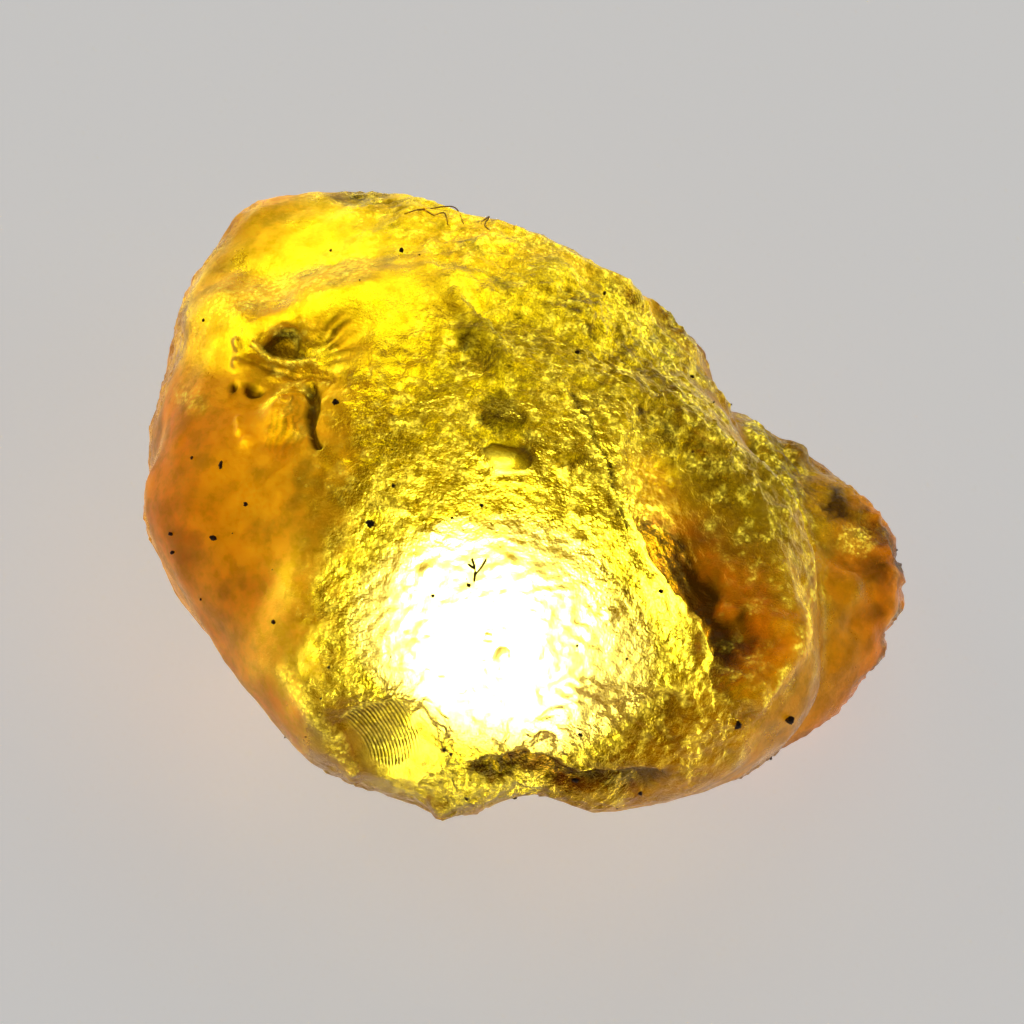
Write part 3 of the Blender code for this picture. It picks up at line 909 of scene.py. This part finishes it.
def amber_material():
    """Base colour = (lemon, honey, rust and painted shade) x sugar x mottle x painted shade,
    washed nearly white as painted lamp light; emission = painted glow x the same, then painted
    glints.
    """
    material, tree, shader = new_material("raw_amber")
    skin_here, rust_and_shade_here, frost_here, lamp_white_here, shade_here, glow_here, glint_here = (
        attribute(tree, name) for name in
        ("skin", "rust_and_shade", "frost", "clear", "shade", "glow", "glint"))

    mottle = from_range(tree, noise_texture(tree, 0.9, 3.0, 0.65), 0.38, 0.62, 0.0, 1.0)
    honey = maths(tree, "MULTIPLY", skin_here, from_range(tree, mottle, 0, 1, 0.45, 1.0))
    # The rust brown is both stain and painted shade.
    rust_and_shade_share = maths(tree, "MULTIPLY", rust_and_shade_here, from_range(tree, mottle, 0, 1, 0.75, 1.0))
    colour = mixed(tree, rust_and_shade_share, mixed(tree, honey, LEMON, HONEY), RUST_AND_SHADE_BROWN)
    sparkle = sugar_sparkle(tree)
    grains_here = mixed(tree, sparkle, SUGAR_GROUND, WHITE)
    colour = times(tree, colour, mixed(tree, frost_here, WHITE, grains_here))
    # Random olive mottling, then painted shade towards dark olive from the shade attribute. Both
    # also dim the painted glow.
    mottle_and_shade = mixed(tree, mottle, OLIVE_VEIL, WHITE)
    mottle_and_shade = times(tree, mottle_and_shade, mixed(tree, shade_here, WHITE, SHADE_OLIVE))
    # Painted lamp light: the colour goes nearly white where the lamp's light is brightest.
    colour = mixed(tree, lamp_white_here, times(tree, colour, mottle_and_shade), LAMP_WHITE)

    dull = from_range(tree, skin_here, 0.0, 1.0, 0.13, 0.40)
    dull = maths(tree, "ADD", dull, from_range(tree, sparkle, 0.0, 1.0, 0.10, -0.06))
    strength = from_range(tree, frost_here, 0.0, 1.0, 0.12, 1.0)
    bumps = bumped(tree, noise_texture(tree, 0.24, 2.0, 0.8), 0.11, strength)

    # Emission: the painted glow, and on top of it the painted glints, broken into sparks.
    glow_colour = times(tree, mixed(tree, rust_and_shade_here, GLOW_HONEY, GLOW_RUST), mottle_and_shade)
    glow_colour = mixed(tree, glow_here, BLACK, glow_colour)
    flicker = from_range(tree, sparkle, 0.15, 0.8, 0.12, 1.1)
    sparks = maths(tree, "MULTIPLY", glint_here, flicker)
    light = mixed(tree, sparks, glow_colour, GLINT)

    feed(tree, shader, {"Base Color": colour, "Roughness": dull, "Normal": bumps,
                        "Emission Color": light, **AMBER_VALUES})
    depth = add(tree, "VolumeAbsorption", {"Color": DEPTH_COLOUR, "Density": DEPTH_DENSITY})
    feed(tree, tree.nodes["Material Output"], {"Volume": depth.outputs["Volume"]})
    return material


amber.data.materials.clear()
amber.data.materials.append(amber_material())
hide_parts(NODE)
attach(amber, "root")
print("amber:", len(amber.data.materials[0].node_tree.nodes), "shader nodes")

# %% [markdown]
# ## Clinging dirt
#
# A raw piece comes out of the ground, so grains of dark earth sit in its skin, and a forked
# splinter of bark is stuck near the middle of the broad face. Each grain is a ball from a small
# grid of angles, squashed and knocked about by noise, and all the grains are worked out as one
# array and become one mesh. Particles would be quicker to set up, but an exported model drops
# them. To find where a grain sits, a ray is sent square onto the broad face, or in from outside
# for the grains round the sides and back.

# %% Where the grains sit
surface = BVHTree.FromObject(amber, bpy.context.evaluated_depsgraph_get())
FAR_OUT = 60.0


def landed(start, direction):
    """Where a ray from start meets the stone, in mm, and the outward normal there; or None."""
    hit, normal, _, _ = surface.ray_cast(Vector(start) * MM, Vector(direction))
    return None if hit is None else (np.array(hit) / MM, np.array(normal))


def on_face(spot_p, spot_q):
    """Where p and q fall on the broad face: a ray sent square onto it from far out."""
    return landed(from_face((spot_p, spot_q, FAR_OUT)), -FACE_AXES[2])


EARTH_SPOTS = (  # p, q, half size
    (-13.9, -3.9, 0.15), (-15.6, -5.0, 0.11), (-14.4, -0.5, 0.13), (-12.8, -2.0, 0.10),
    (-15.8, -0.5, 0.08), (-10.2, -7.0, 0.10), (-7.2, -8.4, 0.09), (-6.9, -1.5, 0.16),
    (-7.2, -9.9, 0.08), (-13.8, -6.8, 0.07), (-16.9, 5.9, 0.09), (-8.7, 11.3, 0.12),
    (-9.9, 3.6, 0.13), (1.0, 11.7, 0.10), (-3.3, -0.3, 0.08), (-2.1, 0.6, 0.09),
    (-3.3, -4.0, 0.10), (5.2, -10.8, 0.12), (4.9, -8.6, 0.09), (8.3, -10.6, 0.11),
    (11.9, -6.4, 0.20), (14.2, -5.6, 0.24), (-1.0, -10.8, 0.08), (6.0, 8.9, 0.09),
)
LOOSE_GRAINS = 60
CLEAR_OF_FLOOR = 0.8  # no loose grain sits lower than this

grains = [(on_face(spot_p, spot_q), size) for spot_p, spot_q, size in EARTH_SPOTS]
directions = DRAWS.normal(size=(LOOSE_GRAINS, 3))
directions /= np.linalg.norm(directions, axis=1, keepdims=True)
sizes = 0.035 + 0.09 * DRAWS.random(LOOSE_GRAINS) ** 3
for direction, size in zip(directions, sizes):
    found = landed(FACE_MIDDLE + direction * FAR_OUT, -direction)
    if found and found[0][2] > CLEAR_OF_FLOOR:
        grains.append((found, size))
grains = [(*found, size) for found, size in grains if found]
print(len(grains), "grains of earth")

# %% The grains as one mesh
AROUND, ALONG = 8, 5
SUNK = 0.25  # how much of its half size a grain sinks in


def ring_faces(rows, around):
    """Faces round rows of points that are followed by one point at each end: squares from row
    to row, and triangles from the first and the last row to the end points.
    """
    k = np.arange(around)
    nxt = (k + 1) % around
    low = np.arange(rows - 1)[:, None] * around
    squares = np.stack([low + k, low + around + k, low + around + nxt, low + nxt], axis=2)
    last = (rows - 1) * around
    start = np.stack([np.full(around, rows * around), k, nxt], axis=1)
    end = np.stack([np.full(around, rows * around + 1), last + nxt, last + k], axis=1)
    return squares.reshape(-1, 4).tolist() + start.tolist() + end.tolist()


def unit_ball(around, along):
    """Points of a ball from its two angles, rows from pole to pole, then both poles."""
    turn = np.arange(around) * 2 * math.pi / around
    rise = (np.arange(along) + 1) * math.pi / (along + 1)
    ring = np.stack([np.cos(turn), np.sin(turn)], axis=1)
    rows = np.concatenate([
        np.broadcast_to(ring, (along, around, 2)) * np.sin(rise)[:, None, None],
        np.broadcast_to(np.cos(rise)[:, None, None], (along, around, 1)),
    ], axis=2)
    return np.vstack([rows.reshape(-1, 3), [(0, 0, 1)], [(0, 0, -1)]])


def joined(name, parts):
    """One piece from several arrays of points in mm and their faces. Each part's face numbers
    are shifted past the points before it.
    """
    all_faces, shift = [], 0
    for part_points, faces in parts:
        all_faces += [[corner + shift for corner in face] for face in faces]
        shift += len(part_points)
    mesh = bpy.data.meshes.new(name)
    mesh.from_pydata((np.vstack([part[0] for part in parts]) * MM).tolist(), [], all_faces)
    mesh.shade_smooth()
    return new_object(name, mesh)


def earth_grains():
    """Every grain is middle + size * (ball * stretch) * (1 + noise), for all grains at once."""
    ball = unit_ball(AROUND, ALONG)
    middles = np.array([place + normal * size * (1 - SUNK) for place, normal, size in grains])
    half_sizes = np.array([size for _, _, size in grains])
    stretch = 0.7 + 0.6 * DRAWS.random((len(grains), 1, 3))
    knock = 1 + 0.25 * DRAWS.normal(size=(len(grains), len(ball), 1)).clip(-1.5, 1.5)
    everything = middles[:, None] + half_sizes[:, None, None] * ball * stretch * knock
    faces = ring_faces(ALONG, AROUND)
    return joined("earth_grains", [(grain, faces) for grain in everything])


earth = earth_grains()
print("earth:", len(earth.data.polygons), "faces")

# %% [markdown]
# ## Fibres
#
# A few fibres of lint have caught on the upper edge, and they stand up from it in small loops.
# The forked splinter is made the same way: a ring of points is carried along a path. Each ring
# is middle + radius * (cos a * side + sin a * other side), with both sides square to the path.

# %% Tubes along a path
TUBE_SIDES = 6
TUBE_STEPS = 14
RAGGED_SIZE = 0.12


def smooth_path(knots, steps):
    """Catmull-Rom curve through the knots, steps points to a stretch, as one array."""
    padded = np.vstack([2 * knots[0] - knots[1], knots, 2 * knots[-1] - knots[-2]])
    before, here, after, beyond = (padded[k:k + len(knots) - 1, None] for k in range(4))
    t = np.linspace(0, 1, steps, endpoint=False)[None, :, None]
    curve = 0.5 * (2 * here + (after - before) * t
                   + (2 * before - 5 * here + 4 * after - beyond) * t**2
                   + (3 * here - before - 3 * after + beyond) * t**3)
    return np.vstack([curve.reshape(-1, 3), knots[-1]])


def tube(path, radii):
    """Points and faces of a closed tube; its ends are drawn to a point."""
    ahead = np.gradient(path, axis=0)
    ahead /= np.linalg.norm(ahead, axis=1, keepdims=True)
    side = np.cross(ahead, FACE_AXES[2] + 0.01)
    side /= np.linalg.norm(side, axis=1, keepdims=True)
    other = np.cross(ahead, side)
    turn = (np.arange(TUBE_SIDES) * 2 * math.pi / TUBE_SIDES)[None, :, None]
    ring = np.cos(turn) * side[:, None] + np.sin(turn) * other[:, None]
    body = (path[:, None] + radii[:, None, None] * ring).reshape(-1, 3)
    tips = [path[0] - ahead[0] * radii[0], path[-1] + ahead[-1] * radii[-1]]
    faces = [face[::-1] for face in ring_faces(len(path), TUBE_SIDES)]
    return np.vstack([body, tips]), faces


def along_surface(places, heights):
    """Knots over the broad face at p, q and a height above it. Past the edge, where no ray
    lands, a knot takes the depth of the stone's point that is nearest in p and q.
    """
    knots = []
    for (spot_p, spot_q), rise in zip(places, heights):
        found = on_face(spot_p, spot_q)
        if found:
            depth = to_face(found[0])[2]
        else:
            depth = moved_w[np.argmin(np.hypot(moved_p - spot_p, moved_q - spot_q))]
        knots.append(from_face((spot_p, spot_q, depth + rise)))
    return np.array(knots)


def strands(name, table, ragged):
    """A piece of tubes, each with the radius * (1 + ragged * noise) along it."""
    tubes = []
    for places, heights, radius in table:
        path = smooth_path(along_surface(places, heights), TUBE_STEPS)
        tubes.append(tube(path, radius * (1 + ragged * smooth_noise(path, RAGGED_SIZE, 23))))
    return joined(name, tubes)


moved_p, moved_q, moved_w = to_face(moved).T
LINT = (  # places p, q along each fibre, heights above the stone, radius
    (((-8.4, 13.4), (-7.3, 13.9), (-6.7, 13.95), (-6.2, 13.3)), (-0.05, 0.2, 0.25, -0.05), 0.032),
    (((-7.6, 13.4), (-7.2, 13.6), (-6.9, 13.1)), (-0.05, 0.2, 0.0), 0.032),
    (((-5.4, 13.6), (-5.1, 13.95), (-5.2, 13.5), (-4.9, 13.3)), (-0.05, 0.2, 0.15, -0.05), 0.032),
    (((-9.0, 13.1), (-8.3, 13.5), (-7.6, 13.35)), (0.0, 0.12, -0.05), 0.032),
)
SPLINTER = (
    (((-1.95, -1.9), (-1.7, -2.35), (-1.6, -2.9)), (0.03, 0.08, 0.02), 0.055),
    (((-1.3, -1.75), (-1.45, -2.2), (-1.65, -2.6)), (0.05, 0.08, 0.04), 0.05),
    (((-2.05, -2.2), (-1.8, -2.3)), (0.03, 0.05), 0.07),
)
lint = strands("lint_fibres", LINT, 0.0)
splinter = strands("bark_splinter", SPLINTER, 0.35)
print("fibres:", len(lint.data.polygons), "faces; splinter:", len(splinter.data.polygons))

# %% [markdown]
# ## Materials of the dirt
#
# Earth, bark and lint all have the same kind of finish: two colours mottled together, matt and
# slightly uneven. So the mottling is one node group, placed in each material with its own size.

# %% Mottling as a node group
MOTTLING_SOCKETS = (
    ("Scale", "INPUT", "Float"), ("Dark", "INPUT", "Color"), ("Light", "INPUT", "Color"),
    ("Color", "OUTPUT", "Color"), ("Roughness", "OUTPUT", "Float"), ("Height", "OUTPUT", "Float"),
)


def mottling_group():
    """Noise on object coordinates, which mixes two colours and sets the roughness and a height."""
    group = bpy.data.node_groups.new("mottling", "ShaderNodeTree")
    for name, way, kind in MOTTLING_SOCKETS:
        group.interface.new_socket(name, in_out=way, socket_type="NodeSocket" + kind)
    entry = group.nodes.new("NodeGroupInput").outputs
    result = group.nodes.new("NodeGroupOutput")
    mottle = texture_of(group, "TexNoise", 1.0, Detail=4.0, Scale=entry["Scale"]).outputs["Fac"]
    stretched = from_range(group, mottle, 0.35, 0.65, 0.0, 1.0)
    feed(group, result, {
        "Color": mixed(group, stretched, entry["Dark"], entry["Light"]),
        "Roughness": from_range(group, mottle, 0.3, 0.7, 0.95, 0.6),
        "Height": mottle,
    })
    return group


MOTTLING = mottling_group()


def matt_material(name, dark, light, grain_mm, bump_mm):
    """A dull finish mottled from dark to light, with grains and bumps of a size in mm."""
    material, tree, shader = new_material(name)
    inputs = {"Scale": 1 / (grain_mm * MM), "Dark": dark, "Light": light}
    mottled = add(tree, "Group", inputs, node_tree=MOTTLING).outputs
    feed(tree, shader, {"Base Color": mottled["Color"], "Roughness": mottled["Roughness"],
                        "Normal": bumped(tree, mottled["Height"], bump_mm)})
    return material


DIRT = (  # piece, name of its material, dark, light, grain and bump in mm
    (earth, "earth", (0.02, 0.012, 0.006, 1), (0.075, 0.04, 0.018, 1), 0.08, 0.02),
    (splinter, "bark", (0.03, 0.018, 0.006, 1), (0.12, 0.07, 0.02, 1), 0.06, 0.01),
    (lint, "lint", (0.65, 0.34, 0.05, 1), (0.90, 0.60, 0.18, 1), 0.2, 0.005),
)
for piece, *look in DIRT:
    piece.data.materials.append(matt_material(*look))
    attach(piece, "root")
print("materials:", [piece.data.materials[0].name for piece, *_ in DIRT])

# %% [markdown]
# ## Camera, floor and light
#
# The camera looks square onto the broad face from far off through a long lens, so that the
# stone's outline is almost free of perspective, and it is rolled by 14 degrees.
#
# The floor is pale and shines faintly, as the top of a light table does. The lamp lies between
# the resting face and the floor. One disc would light a hard-edged circle, so five discs are
# stacked, from a small bright one to a wide dim one, and three side discs stand for the light
# that spills out behind and beside. The other lights are soft and quiet.

# %% Camera
ROLL = math.radians(14.0)
SIGHT_MIDDLE = (-0.677, 0.665, 0.0)  # p, q, w that the middle of the view looks at
CAMERA_DISTANCE = 800.0
VIEW_WIDTH = 48.37
SENSOR = 36.0
CLIP_START, CLIP_END = 0.1, 4.0  # in metres


def make_camera():
    """A camera square to the broad face, rolled; lens = sensor width * distance / view width."""
    right, up, out = FACE_AXES
    view_right = math.cos(ROLL) * right + math.sin(ROLL) * up
    view_up = -math.sin(ROLL) * right + math.cos(ROLL) * up
    data = bpy.data.cameras.new("camera")
    data.sensor_width = SENSOR
    data.lens = SENSOR * CAMERA_DISTANCE / VIEW_WIDTH
    data.clip_start, data.clip_end = CLIP_START, CLIP_END
    camera = new_object("camera", data)
    place = (from_face(SIGHT_MIDDLE) + out * CAMERA_DISTANCE) * MM
    turn = Matrix([view_right, view_up, out]).transposed()
    camera.matrix_world = Matrix.Translation(place) @ turn.to_4x4()
    bpy.context.scene.camera = camera
    return camera


camera = make_camera()
print("lens", round(camera.data.lens), "mm at", CAMERA_DISTANCE, "mm")

# %% Floor
FLOOR_DROP = 0.4
FLOOR_HALF = 700.0
FLOOR_COLOUR = (0.80, 0.79, 0.77, 1.0)
FLOOR_VALUES = {"Base Color": FLOOR_COLOUR, "Roughness": 0.7,
                "Emission Color": FLOOR_COLOUR, "Emission Strength": 0.57}


def make_floor():
    """One large square just under the stone, with a faint light of its own."""
    mesh = bpy.data.meshes.new("floor")
    across = np.array([(-1, -1), (1, -1), (1, 1), (-1, 1)]) * FLOOR_HALF * MM
    corners = np.column_stack([across, np.full(4, -FLOOR_DROP * MM)])
    mesh.from_pydata(corners.tolist(), [], [(0, 1, 2, 3)])
    floor = new_object("floor", mesh)
    material, tree, shader = new_material("floor_paper")
    feed(tree, shader, FLOOR_VALUES)
    mesh.materials.append(material)
    return floor


floor = make_floor()
print("floor at", round(floor.data.vertices[0].co.z / MM, 2), "mm")

# %% Lamps and lights
LAMP_RINGS = ((2.4, 34.0), (3.3, 9.0), (4.4, 3.4), (5.8, 1.3), (8.0, 0.35))  # radius, brightness
SIDE_LAMPS = (  # name, x, y, radius, brightness
    ("lamp_far_spill", -3.0, 4.6, 2.6, 1.0),
    ("lamp_back", -8.0, 12.6, 4.6, 4.0),
    ("lamp_back_right", -0.5, 12.8, 3.4, 1.6),
)
LAMP_DROP = 0.15
LAMP_STEP = 0.03
LAMP_COLOUR = (1.0, 0.98, 0.92)
SOFT_LIGHTS = (  # name, place, size, watts
    ("left", (-260, 40, 210), 160, 0.035),
    ("right", (260, 80, 170), 160, 0.04),
    ("back", (0, 260, 220), 200, 0.045),
)
STONE_MIDDLE = (0, 0, 8)
SKY_VALUES = {"Color": (0.9, 0.92, 1.0, 1.0), "Strength": 0.06}


def area_light(name, place, target, size, watts, colour=(1, 1, 1), shape="SQUARE"):
    """An area light of a size in mm at one point, turned to face another."""
    data = bpy.data.lights.new(name, "AREA")
    data.shape = shape
    data.size = size * MM
    data.energy = watts
    data.color = colour
    light = new_object(name, data)
    light.location = Vector(place) * MM
    aim = (Vector(target) - Vector(place)).normalized()
    light.rotation_euler = aim.to_track_quat("-Z", "Y").to_euler()


def make_lights():
    """The lamp's discs, the three soft lights and a dim sky. A disc's power for a brightness is
    pi * (pi r^2) * brightness, because it shines evenly into half of all directions.
    """
    rings = [(f"lamp_ring_{k}", *LAMP_PLACE, *ring) for k, ring in enumerate(LAMP_RINGS)]
    for step, (name, x, y, radius, brightness) in enumerate(rings + list(SIDE_LAMPS)):
        watts = brightness * math.pi * math.pi * (radius * MM) ** 2
        z = -LAMP_DROP - LAMP_STEP * step
        area_light(name, (x, y, z), (x, y, z + 10), 2 * radius, watts, LAMP_COLOUR, "DISK")
    for name, place, size, watts in SOFT_LIGHTS:
        area_light(name, place, STONE_MIDDLE, size, watts)
    world = bpy.data.worlds.new("studio")
    world.use_nodes = True
    feed(world.node_tree, world.node_tree.nodes["Background"], SKY_VALUES)
    bpy.context.scene.world = world


def settle_renderer():
    """True colours, and two settings that save time with light that passes through a stone."""
    scene = bpy.context.scene
    scene.view_settings.view_transform = "Standard"
    scene.cycles.use_light_tree = False
    scene.cycles.adaptive_threshold = 0.05


make_lights()
settle_renderer()
